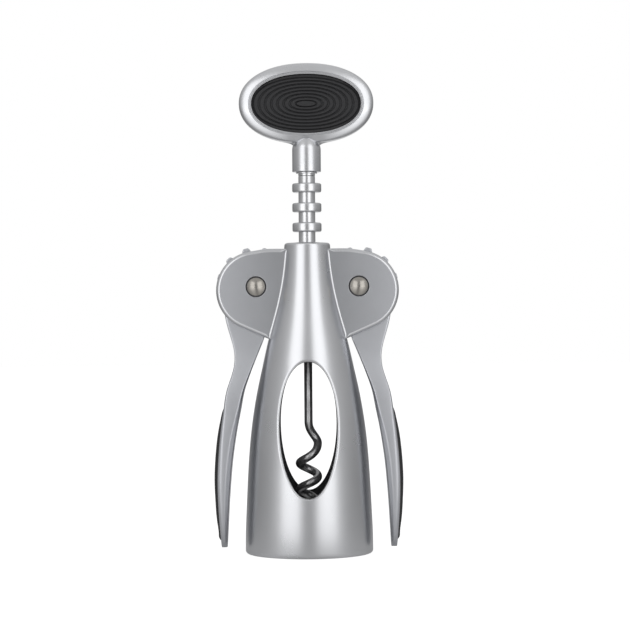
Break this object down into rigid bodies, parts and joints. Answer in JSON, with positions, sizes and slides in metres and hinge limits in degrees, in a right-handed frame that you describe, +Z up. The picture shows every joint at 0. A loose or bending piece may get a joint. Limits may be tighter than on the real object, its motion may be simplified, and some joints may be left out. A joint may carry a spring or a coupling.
{
  "type": "wing corkscrew",
  "caption": "Wing corkscrew with a cast bell, two geared levers with soft grips, a ringed rack and a turning oval handle with its worm.",
  "frame": {"origin": "centre of the bell's foot, on the surface that it stands on", "axes": "+Z up along the worm, X along the swing of the levers, the front face looks towards -Y"},
  "size_m": [0.0724, 0.049, 0.1877],
  "materials": {
    "satin_casting": "satin chromed zinc casting",
    "matte_casting": "fine matte chromed zinc casting",
    "bright_turning": "satin turned and chromed",
    "turned_nickel": "turned and nickelled",
    "dark_wire": "dark coated wire",
    "black_rubber": "soft matte black",
    "black_plastic": "moulded black plastic"
  },
  "bodies": {
    "housing": {"bell_housing": "satin_casting", "bottle_guide": "black_plastic", "pivot_rivet_left": "turned_nickel", "pivot_rivet_right": "turned_nickel"},
    "rack": {"rack_sleeve": "bright_turning"},
    "handle": {"thrust_washer": "turned_nickel", "worm": "dark_wire", "retaining_washer": "turned_nickel", "retaining_clip": "turned_nickel", "handle_frame": "satin_casting", "handle_inset_front": "black_rubber", "handle_inset_back": "black_rubber"},
    "lever_left": {"lever_left": "matte_casting", "grip_pad_left": "black_rubber"},
    "lever_right": {"lever_right": "matte_casting", "grip_pad_right": "black_rubber"}
  },
  "joints": [
    {"name": "rack_slide", "type": "slide", "parent": "housing", "child": "rack", "axis": [0, 0, -1], "range_m": [0, 0.0378]},
    {"name": "handle_spin", "type": "hinge", "parent": "rack", "child": "handle", "pos_m": [0, 0, 0.145], "axis": [0, 0, 1], "continuous": true},
    {"name": "lever_left_swing", "type": "hinge", "parent": "housing", "child": "lever_left", "pos_m": [-0.01969, 0, 0.10206], "axis": [0, 1, 0], "range_deg": [0, 150]},
    {"name": "lever_right_swing", "type": "hinge", "parent": "housing", "child": "lever_right", "pos_m": [0.01969, 0, 0.10206], "axis": [0, -1, 0], "range_deg": [0, 150]}
  ],
  "couplings": [
    {"joint": "lever_left_swing", "follows": "rack_slide", "rad_per_m": 69.213},
    {"joint": "lever_right_swing", "follows": "rack_slide", "rad_per_m": 69.213}
  ]
}
